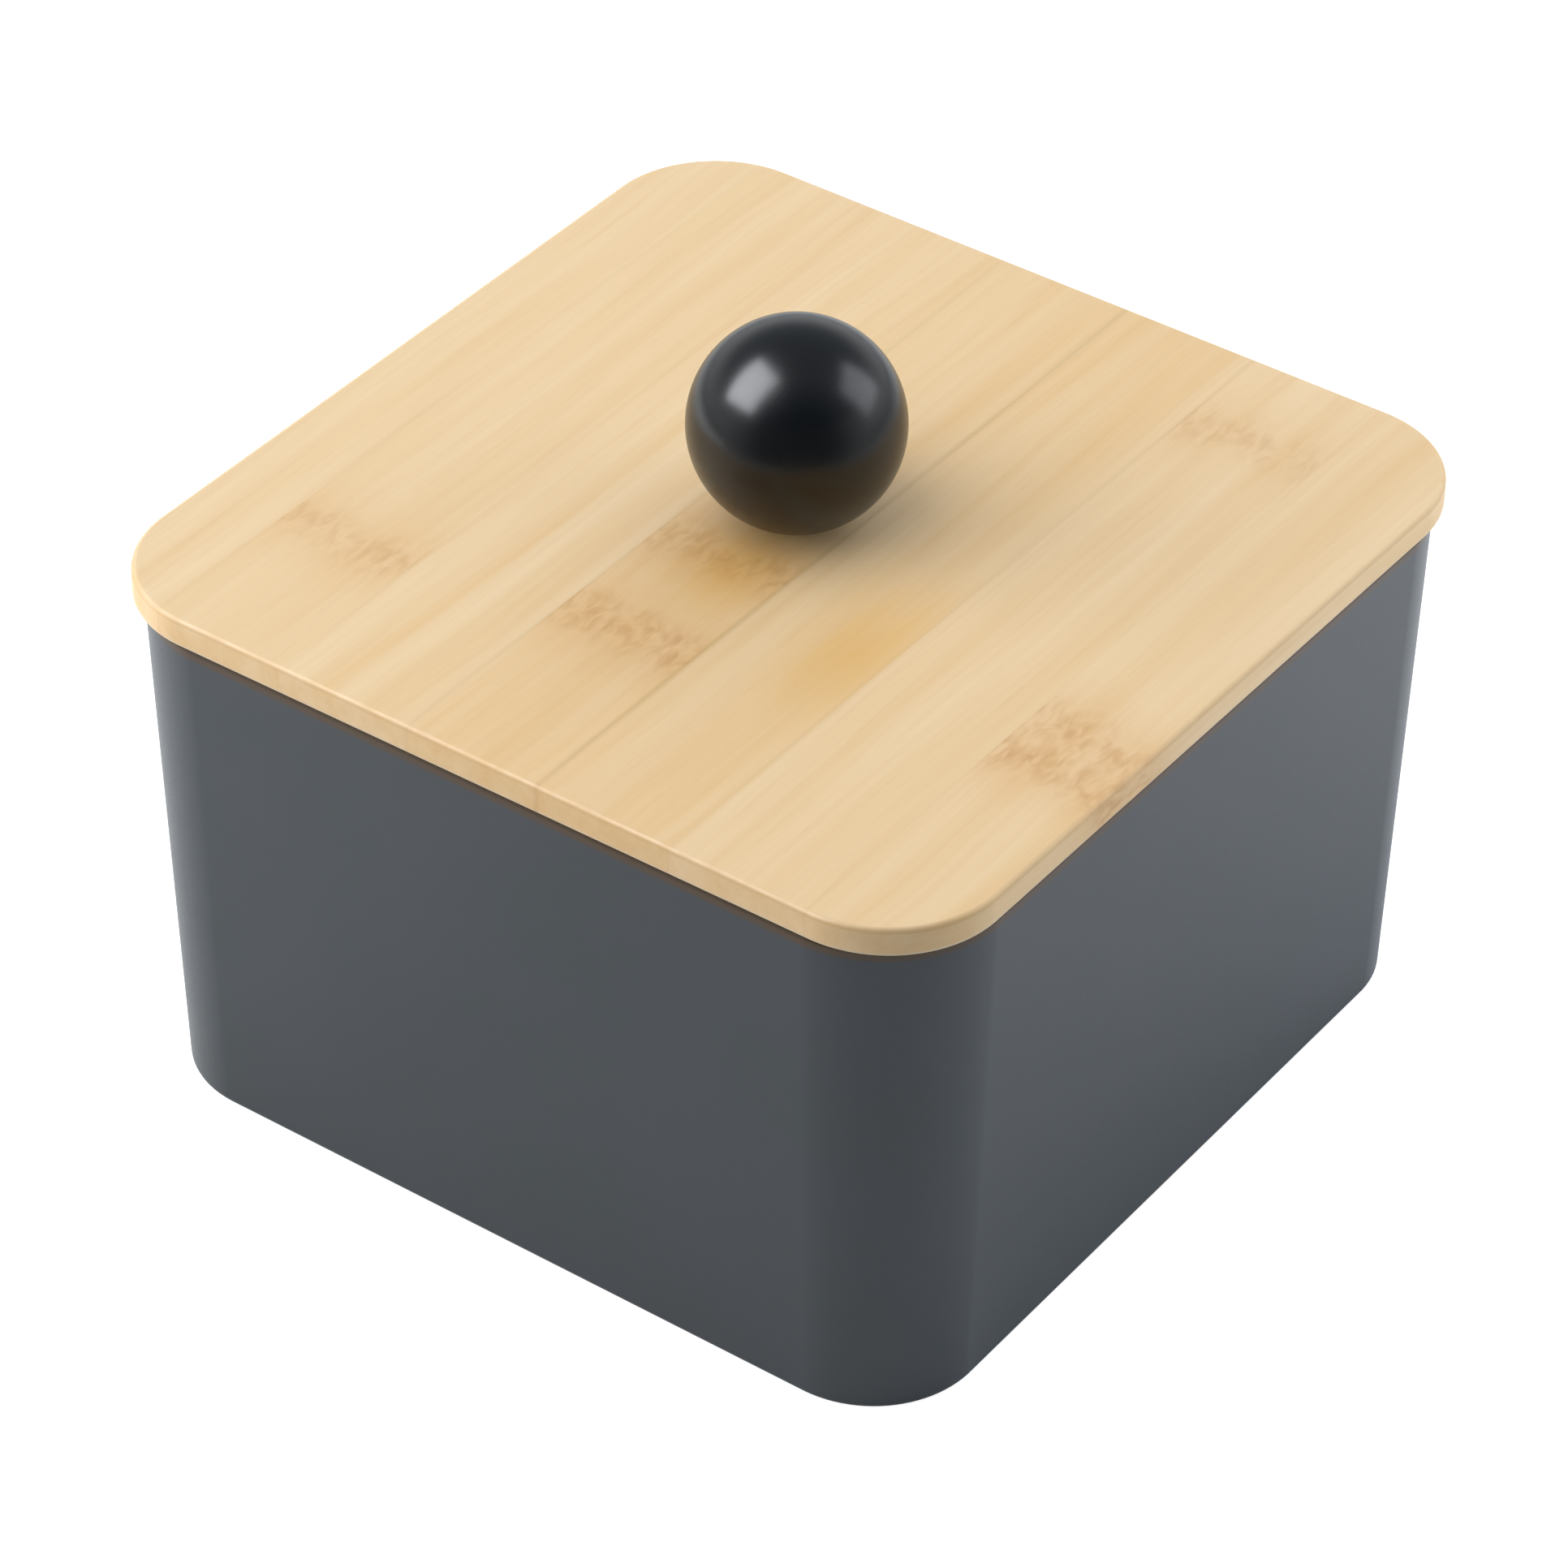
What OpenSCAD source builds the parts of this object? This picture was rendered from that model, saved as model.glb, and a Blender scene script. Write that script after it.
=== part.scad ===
// Square organizer box with a lift-off bamboo lid and a ball knob.
// The box stands on its foot ring at z = 0, centred on the Z axis. Its front faces -Y.

/* [Box] */
// Outside width and depth of the box across its rim
box_w = 136; // [118:0.5:160]
// Height of the box without its lid
box_h = 81; // [60:0.5:110]
// Corner radius of the rim
box_corner_r = 18.6; // [14:0.1:26]
// How far each side leans in from the rim to the base
box_draft = 2.4; // [1:0.1:4]
// Thickness of the moulded wall
wall_t = 2.4; // [2:0.1:3.2]
// Thickness of the floor over the foot recess
floor_t = 2.4; // [1.8:0.1:3.5]
// Radius between floor and walls inside the box
floor_fillet_r = 4; // [2:0.5:7]
// Rounding of the outer edge of the rim
rim_edge_r = 1; // [0.5:0.1:1.3]
// Chamfer round the inside of the mouth
mouth_chamfer = 0.5; // [0.3:0.1:0.8]
// Rounding of the outer edge of the base
base_edge_r = 0.8; // [0.4:0.1:1.5]
// Width of the foot ring under the base
foot_ring_w = 5; // [3:0.5:8]
// Depth of the recess inside the foot ring
foot_recess_t = 0.8; // [0.4:0.1:1.2]
// Width of the shallow well round the moulding gate
gate_well_d = 9; // [6:0.5:14]
// Depth of the gate well
gate_well_t = 0.5; // [0.3:0.1:0.8]

/* [Lid] */
// How far the lid stands out past the rim on each side
lid_overhang = 0.65; // [0.3:0.05:2.5]
// Thickness of the lid board
lid_t = 4.5; // [3:0.1:7]
// How much tighter the lid's corner radius is than the rim's
lid_corner_tighter = 1.4; // [0:0.1:3]
// Rounding of the lid's upper edge
lid_upper_edge_r = 0.8; // [0.4:0.1:1.4]
// Rounding of the lid's lower edge
lid_lower_edge_r = 0.8; // [0.3:0.1:1.2]
// Width of a whole bamboo strip as a share of the lid's width, before the edge strips are trimmed
strip_w_share = 0.155; // [0.148:0.001:0.165]

/* [Locating plate] */
// Thickness of the plate glued under the lid
plate_t = 4; // [2.5:0.1:6]
// Gap between the plate and the mouth on each side
plate_play = 1.5; // [0.8:0.1:2.5]
// Rounding of the plate's lower edge
plate_edge_r = 0.8; // [0.4:0.1:1.2]

/* [Knob] */
// Diameter of the ball
ball_d = 30; // [24:0.5:40]
// Width of the flat under the ball
ball_flat_d = 8.8; // [8:0.1:11]
// Outside diameter of the threaded insert's barrel
insert_d = 5.6; // [5.2:0.1:6.4]
// Diameter of the insert's collar
insert_collar_d = 7.6; // [6.8:0.1:8]
// Height of the collar, which keeps the ball off the lid
insert_collar_t = 0.4; // [0.3:0.1:1]

/* [Screw] */
// Thread diameter of the screw
screw_d = 4; // [3:0.5:4.5]
// How far the screw reaches into the knob
thread_grip = 7; // [5:0.5:9]
// Diameter of the pan head
head_d = 8; // [6.8:0.1:9]
// Height of the pan head
head_t = 2.6; // [2:0.1:3.4]
// Outside diameter of the washer
washer_d = 12; // [10:0.5:16]
// Thickness of the washer
washer_t = 1; // [0.6:0.1:1.6]

/* [Clearances] */
// Gap between the screw and the threads of the insert
thread_gap = 0.05; // [0.02:0.01:0.1]
// Gap between the insert and its hole in the ball
insert_gap = 0.05; // [0.02:0.01:0.1]
// Gap round the screw in the washer
washer_gap = 0.15; // [0.1:0.05:0.3]
// Gap round the screw in the lid and the locating plate
board_gap = 0.25; // [0.15:0.05:0.5]

/* [Hidden] */
strip_count = 7;
$fn = 96;

// The corner axes stay upright while the walls lean, so each corner is part of a true cone
corner_axis = box_w / 2 - box_corner_r;
base_corner_r = box_corner_r - box_draft;
lean = box_draft / box_h;
cut_spare = 1;
edge_steps = 5;

// Floor and mouth
floor_z = foot_recess_t + floor_t;
mouth_w = box_w - 2 * wall_t;
mouth_corner_r = box_corner_r - wall_t;
foot_recess_r = base_corner_r - foot_ring_w;
gate_nub_d = gate_well_d / 6;

// Lid and its strips
lid_w = box_w + 2 * lid_overhang;
lid_corner_r = box_corner_r - lid_corner_tighter;
lid_axis = lid_w / 2 - lid_corner_r;
lid_z = box_h;
lid_top_z = lid_z + lid_t;
strip_w = lid_w * strip_w_share;
lid_seam_shift_share = -0.096;

// Locating plate, whose strips run across those of the lid
plate_w = mouth_w - 2 * plate_play;
plate_corner_r = mouth_corner_r - plate_play;
plate_axis = plate_w / 2 - plate_corner_r;
plate_z = lid_z - plate_t;

// Knob and its screw
collar_z = lid_top_z;
ball_flat_z = collar_z + insert_collar_t;
ball_r = ball_d / 2;
ball_drop = sqrt(pow(ball_r, 2) - pow(ball_flat_d / 2, 2));
ball_z = ball_flat_z + ball_drop;
insert_spare = 2;
insert_len = thread_grip + insert_spare;
insert_hole_spare = 1;
washer_z = plate_z - washer_t;
screw_len = washer_t + plate_t + lid_t + thread_grip;
screw_tip_t = screw_d / 8;
board_hole_d = screw_d + 2 * board_gap;
drive_slot_w = head_d / 8;
drive_slot_l = head_d * 0.55;
drive_slot_t = head_t * 0.5;

// Points of a rounded edge, from one angle to another round a centre in the profile
function edge_arc(centre_r, centre_z, radius, from, to) = [
    for (i = [0 : edge_steps])
        let (angle = from + (to - from) * i / edge_steps)
            [centre_r + radius * cos(angle), centre_z + radius * sin(angle)]
];

// Outside radius of the leaning wall at one height, measured from the corner axis
function wall_r(z) = base_corner_r + lean * z;

// Solid with a rounded square plan: its profile lists [radius, z] points round the
// corner axes, from the bottom up, and sweeps along the four sides and corners
module rounded_square(axis, profile) {
    low = profile[0][1];
    high = profile[len(profile) - 1][1];
    section = concat(
        [for (p = profile) [axis + p[0], p[1]]],
        [for (i = [len(profile) - 1 : -1 : 0]) [-axis - profile[i][0], profile[i][1]]]
    );
    for (turn = [0, 90])
        rotate([90, 0, turn])
            linear_extrude(2 * axis, center = true)
                polygon(section);
    for (x = [-axis, axis], y = [-axis, axis])
        translate([x, y])
            rotate_extrude()
                polygon(concat([[0, low]], profile, [[0, high]]));
}

module box_outside() {
    base_arc_r = wall_r(base_edge_r) - base_edge_r;
    rim_arc_r = wall_r(box_h - rim_edge_r) - rim_edge_r;
    rounded_square(corner_axis, concat(
        edge_arc(base_arc_r, base_edge_r, base_edge_r, -90, 0),
        edge_arc(rim_arc_r, box_h - rim_edge_r, rim_edge_r, 0, 90)
    ));
}

module box_cavity() {
    fillet_z = floor_z + floor_fillet_r;
    fillet_r = wall_r(fillet_z) - wall_t - floor_fillet_r;
    chamfer_z = box_h - mouth_chamfer;
    rounded_square(corner_axis, concat(
        edge_arc(fillet_r, fillet_z, floor_fillet_r, -90, 0),
        [
            [wall_r(chamfer_z) - wall_t, chamfer_z],
            [mouth_corner_r + mouth_chamfer, box_h],
            [mouth_corner_r + mouth_chamfer, box_h + cut_spare]
        ]
    ));
}

// Recess that leaves the foot ring, with sides that slope in by its own depth
module foot_recess() {
    rounded_square(corner_axis, [
        [foot_recess_r, -cut_spare],
        [foot_recess_r, 0],
        [foot_recess_r - foot_recess_t, foot_recess_t]
    ]);
}

// Shallow dish with the trimmed nub of the moulding gate in its middle
module gate_well() {
    dish_r = (pow(gate_well_d / 2, 2) + pow(gate_well_t, 2)) / (2 * gate_well_t);
    difference() {
        translate([0, 0, foot_recess_t + gate_well_t - dish_r])
            sphere(dish_r);
        cylinder(h = foot_recess_t + 2 * gate_well_t, d = gate_nub_d);
    }
}

module box_shell() {
    color("#565c61")
        difference() {
            box_outside();
            box_cavity();
            foot_recess();
            intersection() {
                gate_well();
                cylinder(h = floor_z, d = gate_well_d + cut_spare);
            }
        }
}

// Where the seam after strip k lies, measured from the middle of the board
function seam(k, shift_share) = (k - strip_count / 2 + shift_share) * strip_w;

// Slab that keeps strip k of a board as wide as span and trims the two edge strips
module strip_slab(k, span, shift_share, low_z, thickness) {
    reach = span / 2 + cut_spare;
    left = k == 1 ? -reach : seam(k - 1, shift_share);
    right = k == strip_count ? reach : seam(k, shift_share);
    translate([left, -reach, low_z - cut_spare])
        cube([right - left, 2 * reach, thickness + 2 * cut_spare]);
}

module lid_board() {
    upper_arc_r = lid_corner_r - lid_upper_edge_r;
    lower_arc_r = lid_corner_r - lid_lower_edge_r;
    rounded_square(lid_axis, concat(
        edge_arc(lower_arc_r, lid_z + lid_lower_edge_r, lid_lower_edge_r, -90, 0),
        edge_arc(upper_arc_r, lid_top_z - lid_upper_edge_r, lid_upper_edge_r, 0, 90)
    ));
}

module plate_board() {
    arc_r = plate_corner_r - plate_edge_r;
    rounded_square(plate_axis, concat(
        edge_arc(arc_r, plate_z + plate_edge_r, plate_edge_r, -90, 0),
        [[plate_corner_r, lid_z]]
    ));
}

module screw_hole() {
    translate([0, 0, plate_z - cut_spare])
        cylinder(h = plate_t + lid_t + 2 * cut_spare, d = board_hole_d);
}

module lid_strip(k) {
    tone = k % 2 == 0 ? "#e3c391" : "#e8cc9c";
    color(tone)
        difference() {
            intersection() {
                lid_board();
                strip_slab(k, lid_w, lid_seam_shift_share, lid_z, lid_t);
            }
            screw_hole();
        }
}

module plate_strip(k) {
    tone = k % 2 == 0 ? "#dfc08f" : "#d9b885";
    color(tone)
        difference() {
            intersection() {
                plate_board();
                rotate([0, 0, 90])
                    strip_slab(k, plate_w, 0, plate_z, plate_t);
            }
            screw_hole();
        }
}

module knob_ball() {
    hole_len = insert_len + insert_hole_spare;
    color("#14171a")
        difference() {
            translate([0, 0, ball_z])
                sphere(ball_r);
            translate([-ball_r, -ball_r, ball_flat_z - ball_r])
                cube([ball_d, ball_d, ball_r]);
            translate([0, 0, ball_flat_z - cut_spare])
                cylinder(h = hole_len + cut_spare, d = insert_d + 2 * insert_gap);
        }
}

module knob_insert() {
    bore_len = insert_collar_t + insert_len + 2 * cut_spare;
    color("#c9a24a")
        difference() {
            translate([0, 0, collar_z]) {
                cylinder(h = insert_collar_t, d = insert_collar_d);
                cylinder(h = insert_collar_t + insert_len, d = insert_d);
            }
            translate([0, 0, collar_z - cut_spare])
                cylinder(h = bore_len, d = screw_d + 2 * thread_gap);
        }
}

// Pan head screw, driven from below into the insert
module knob_screw() {
    head_edge_r = head_t / 2;
    color("#b9bcc0")
        difference() {
            union() {
                translate([0, 0, washer_z])
                    cylinder(h = screw_len - screw_tip_t, d = screw_d);
                translate([0, 0, washer_z + screw_len - screw_tip_t])
                    cylinder(h = screw_tip_t, d1 = screw_d, d2 = screw_d - 2 * screw_tip_t);
                translate([0, 0, washer_z - head_t])
                    rotate_extrude()
                        polygon(concat(
                            [[0, 0]],
                            edge_arc(head_d / 2 - head_edge_r, head_edge_r, head_edge_r, -90, 0),
                            [[head_d / 2, head_t], [0, head_t]]
                        ));
            }
            for (turn = [0, 90])
                translate([0, 0, washer_z - head_t])
                    rotate([0, 0, turn])
                        cube([drive_slot_l, drive_slot_w, 2 * drive_slot_t], center = true);
        }
}

module screw_washer() {
    color("#a9adb2")
        difference() {
            translate([0, 0, washer_z])
                cylinder(h = washer_t, d = washer_d);
            translate([0, 0, washer_z - cut_spare])
                cylinder(h = washer_t + 2 * cut_spare, d = screw_d + 2 * washer_gap);
        }
}

box_shell();
for (k = [1 : strip_count])
    lid_strip(k);
for (k = [1 : strip_count])
    plate_strip(k);
knob_ball();
knob_insert();
knob_screw();
screw_washer();
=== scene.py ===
import math
import bmesh
import bpy
from mathutils import Matrix, Vector


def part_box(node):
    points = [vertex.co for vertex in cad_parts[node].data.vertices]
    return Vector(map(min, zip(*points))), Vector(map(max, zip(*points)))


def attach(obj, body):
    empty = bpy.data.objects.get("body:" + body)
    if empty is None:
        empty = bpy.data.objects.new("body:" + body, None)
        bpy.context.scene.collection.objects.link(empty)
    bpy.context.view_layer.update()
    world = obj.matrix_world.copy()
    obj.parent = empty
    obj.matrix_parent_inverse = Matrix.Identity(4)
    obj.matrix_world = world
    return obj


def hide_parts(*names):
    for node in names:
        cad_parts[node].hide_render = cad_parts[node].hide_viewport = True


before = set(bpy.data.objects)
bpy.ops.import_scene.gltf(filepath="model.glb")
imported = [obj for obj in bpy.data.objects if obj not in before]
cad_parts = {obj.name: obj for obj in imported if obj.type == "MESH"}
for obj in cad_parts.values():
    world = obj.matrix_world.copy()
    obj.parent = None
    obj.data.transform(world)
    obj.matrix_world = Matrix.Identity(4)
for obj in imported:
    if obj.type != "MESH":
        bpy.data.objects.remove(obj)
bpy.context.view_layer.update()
mm = 0.001
print("frame loaded")


# Mesh helpers

cornerSteps = 24  # faces round a quarter of a ring
ringPoints = 4 * cornerSteps
arcSteps = 6  # faces across a small rounding
sharpAngle = math.radians(35)


def addRing(bm, axis, radius, z, points=ringPoints):
    # a circle whose quarters move out to the four corner axes; half a step of turn keeps the sides straight
    halfStep = math.pi / points
    place = Matrix.Translation((0, 0, z)) @ Matrix.Rotation(halfStep, 4, "Z")
    outer = radius / math.cos(halfStep)
    verts = bmesh.ops.create_circle(bm, segments=points, radius=outer, matrix=place)["verts"]
    for vert in verts:
        vert.co.x += math.copysign(axis, vert.co.x)
        vert.co.y += math.copysign(axis, vert.co.y)
    return [bm.edges.get(pair) for pair in zip(verts, verts[1:] + verts[:1])]


def bridge(bm, lower, upper):
    # edge by edge, because rings that lie in one plane can be joined crosswise when they are bridged whole
    for under, over in zip(lower, upper):
        bmesh.ops.contextual_create(bm, geom=[under, over])


def loft(bm, rings, closed=False):
    # bridges rings given as (axis, radius, z); a closed loft ends where it began, as round a hole
    loops = [addRing(bm, *ring) for ring in rings]
    pairs = list(zip(loops, loops[1:]))
    if closed:
        pairs.append((loops[-1], loops[0]))
    for lower, upper in pairs:
        bridge(bm, lower, upper)
    if not closed:
        for loop in (loops[0], loops[-1]):
            bmesh.ops.edgeloop_fill(bm, edges=loop)
    return loops


def arc(axis, radius, z, size, start, end, steps=arcSteps):
    # rings of a rounded edge round a centre in the profile
    turns = [math.radians(start + (end - start) * i / steps) for i in range(steps + 1)]
    return [(axis, radius + size * math.cos(turn), z + size * math.sin(turn)) for turn in turns]


def addPiece(bm, name, material, body, node, edgeWidth=0):
    # smooth faces, sharp edges by angle, and a fine bevel where the piece has one
    bmesh.ops.recalc_face_normals(bm, faces=bm.faces)
    for face in bm.faces:
        face.smooth = True
    for edge in bm.edges:
        edge.smooth = edge.calc_face_angle(0) < sharpAngle
    mesh = bpy.data.meshes.new(name)
    bm.to_mesh(mesh)
    bm.free()
    mesh.materials.append(material)
    piece = bpy.data.objects.new(name, mesh)
    bpy.context.scene.collection.objects.link(piece)
    if edgeWidth:
        bevel = piece.modifiers.new("fineEdges", "BEVEL")
        bevel.width = edgeWidth
        bevel.segments = 2
        bevel.limit_method = "ANGLE"
        bevel.angle_limit = sharpAngle
    weighted = piece.modifiers.new("flatFaces", "WEIGHTED_NORMAL")
    weighted.keep_sharp = True
    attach(piece, body)
    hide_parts(node)
    return piece


# Material helpers

def linear(hexCode):
    parts = [int(hexCode[i:i + 2], 16) / 255 for i in (1, 3, 5)]
    return [c / 12.92 if c <= 0.04045 else ((c + 0.055) / 1.055) ** 2.4 for c in parts] + [1]


def addNode(tree, kind, sockets, **settings):
    # sockets holds a value, a node or an output for each input, by name or by place
    node = tree.nodes.new("ShaderNode" + kind)
    for name, value in settings.items():
        setattr(node, name, value)
    shown = [socket for socket in node.inputs if socket.enabled]
    for key, value in sockets.items():
        socket = shown[key] if isinstance(key, int) else next(s for s in shown if s.name == key)
        if isinstance(value, bpy.types.Node):
            value = next(output for output in value.outputs if output.enabled)
        if isinstance(value, bpy.types.NodeSocket):
            tree.links.new(value, socket)
        else:
            socket.default_value = value
    return node


def newMaterial(name):
    material = bpy.data.materials.new(name)
    material.use_nodes = True
    material.node_tree.nodes.clear()
    return material, material.node_tree


# Injection moulded polypropylene with a spark eroded texture: dull, even grey, a soft sheen at low angles

plasticLook = {
    "grey": "#373c41",
    "deepGrey": "#343a3e",
    "rubbedGrey": "#4e5358",
    # painted shade: the colour of the shadow under the lid's edge
    "gapShade": "#4c3414",
    "textureGrain": 0.45 * mm,  # really 0.15 mm, drawn coarser so that it shows
    "textureDepth": 0.003 * mm,
    "cloud": 22 * mm,
    "cloudDetail": 3,
    "cloudSpread": (0.35, 0.65),
    "grainDetail": 2,
    "grainSpread": (0.3, 0.7),
    "rubbedBand": 0.9 * mm,
    "rubbedSpread": (0.42, 0.7),
    "rubbedShare": 0.5,
    "gapShadeStart": 2.4 * mm,  # below the rim
    "gapShadeFull": 1.3 * mm,
    "gapShadeShare": 0.9,
    "gapShadeFacing": (0.5, 0.8),  # how far the wall must face away from the middle to take the painted shade
    "roughness": (0.28, 0.33),
    "ior": 1.5,
}


def mouldedPlastic(boxTop):
    look = plasticLook
    material, tree = newMaterial("mouldedPolypropylene")
    coordinates = addNode(tree, "TexCoord", {})
    place = coordinates.outputs["Object"]
    cloud = addNode(tree, "TexNoise", {
        "Vector": place, "Scale": 1 / look["cloud"], "Detail": look["cloudDetail"]})
    grain = addNode(tree, "TexNoise", {
        "Vector": place, "Scale": 1 / look["textureGrain"], "Detail": look["grainDetail"]})
    cloudLow, cloudHigh = look["cloudSpread"]
    tone = addNode(tree, "MapRange", {"Value": cloud, "From Min": cloudLow, "From Max": cloudHigh})
    body = addNode(tree, "Mix", {
        "Factor": tone, "A": linear(look["grey"]), "B": linear(look["deepGrey"])}, data_type="RGBA")
    # the base edge is rubbed a little paler where shelves touch it
    height = addNode(tree, "SeparateXYZ", {0: place}).outputs["Z"]
    edge = addNode(tree, "MapRange", {"Value": height, "From Min": look["rubbedBand"], "From Max": 0})
    rubbedLow, rubbedHigh = look["rubbedSpread"]
    patch = addNode(tree, "MapRange", {
        "Value": cloud, "From Min": rubbedLow, "From Max": rubbedHigh, "To Max": look["rubbedShare"]})
    rubbed = addNode(tree, "Math", {0: edge, 1: patch}, operation="MULTIPLY")
    colour = addNode(tree, "Mix", {
        "Factor": rubbed, "A": body, "B": linear(look["rubbedGrey"])}, data_type="RGBA")
    # painted shade: a dark line on the wall just under the lid's edge, where the lid shades the groove, on
    # the outside only
    gapShade = addNode(tree, "MapRange", {
        "Value": height, "From Min": boxTop - look["gapShadeStart"], "From Max": boxTop - look["gapShadeFull"],
        "To Max": look["gapShadeShare"]}, interpolation_type="SMOOTHSTEP")
    flat = addNode(tree, "VectorMath", {0: place, 1: (1, 1, 0)}, operation="MULTIPLY")
    away = addNode(tree, "VectorMath", {0: flat}, operation="NORMALIZE")
    outwards = addNode(tree, "VectorMath", {
        0: away, 1: coordinates.outputs["Normal"]}, operation="DOT_PRODUCT").outputs["Value"]
    facingStart, facingEnd = look["gapShadeFacing"]
    outside = addNode(tree, "MapRange", {
        "Value": outwards, "From Min": facingStart, "From Max": facingEnd}, interpolation_type="SMOOTHSTEP")
    gapShade = addNode(tree, "Math", {0: gapShade, 1: outside}, operation="MULTIPLY")
    colour = addNode(tree, "Mix", {"Factor": gapShade, "A": colour, "B": linear(look["gapShade"])}, data_type="RGBA")
    grainLow, grainHigh = look["grainSpread"]
    smoothest, roughest = look["roughness"]
    rough = addNode(tree, "MapRange", {
        "Value": grain, "From Min": grainLow, "From Max": grainHigh, "To Min": smoothest, "To Max": roughest})
    bump = addNode(tree, "Bump", {"Height": grain, "Strength": 1, "Distance": look["textureDepth"]})
    shader = addNode(tree, "BsdfPrincipled", {
        "Base Color": colour, "Roughness": rough, "IOR": look["ior"], "Normal": bump})
    addNode(tree, "OutputMaterial", {"Surface": shader})
    return material


# Plain pressed bamboo, sanded and thinly oiled: pale straw with long fine fibres and brown knuckle marks

bambooLook = {
    "pale": "#eed1a6",
    "straw": "#e5bf88",
    "fibre": "#cc9757",
    "fibreShare": 0.11,
    "bright": "#f6dbaa",
    "brightShare": 0.09,
    "fleckShare": 0.07,
    "gold": "#dfab52",
    "knuckle": "#c18644",
    "blush": "#d99f55",
    "blushShare": 0.45,
    "seam": "#b08a4e",
    "endGrain": "#dba768",
    "endShare": 0.15,
    # painted shade on the rounded upper edge
    "handledEdge": "#c39b62",
    "handledShare": 0.45,
    # painted light on the rounded lower edge, as from the floor below
    "sandedEdge": "#e9dcc4",
    "sandedShare": 0.5,
    "endFacing": (0.2, 0.6),  # how far a face must look along the fibres to show its ends
    "edgeTilt": 0.25,
    "stripStep": (37.7, 91.3, 17.9),  # mm from one strip's pattern to the next
    "fibreWidth": 1.3,  # mm; real fibre bundles are 0.3 mm wide, drawn coarser so that they show
    "fibreLength": 45,
    "fibreDetail": 2,
    "fibreDark": (0.48, 0.76),
    "fibreBright": (0.46, 0.24),
    "fleckWidth": 0.6,
    "fleckLength": 11,
    "fleckDetail": 1,
    "fleckDark": (0.54, 0.8),
    "bandWidth": 4.6,
    "bandLength": 120,
    "bandDetail": 2,
    "bandSpread": (0.22, 0.82),
    "toneReach": 0.5,  # how far a strip's tone moves its bands
    "streakRoughness": 0.6,
    "waveScale": (0.16, 0.02, 0.02),  # waves to a mm
    "waveDetail": 2,
    "wander": 3.2,
    "wanderScale": (0.05, 0.02, 0.05),
    "swirl": 3.2,
    "swirlScale": (0.3, 0.22, 0.3),
    "swirlDetail": 1,
    "goldReach": (0.8, 1.8),
    "goldUneven": 1.6,
    "knuckleHalf": 7,
    "blushHalf": 14,
    "knuckleWave": 4,
    "scribbleWidth": 1.3,
    "scribbleLength": 3.2,
    "scribbleDetail": 1,
    "scribbleTwist": 0.4,
    "scribbleDark": (0.38, 0.76),
    "seamWidth": 0.8,
    "seamSpread": (0.3, 0.6),
    "seamFaintest": 0.3,
    "fibreDepth": 0.015 * mm,
    "fleckHeight": 0.5,
    "sheenSpread": (0.3, 0.7),
    "roughness": (0.44, 0.58),
    "ior": 1.45,
}
middleTone = 0.5


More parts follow.
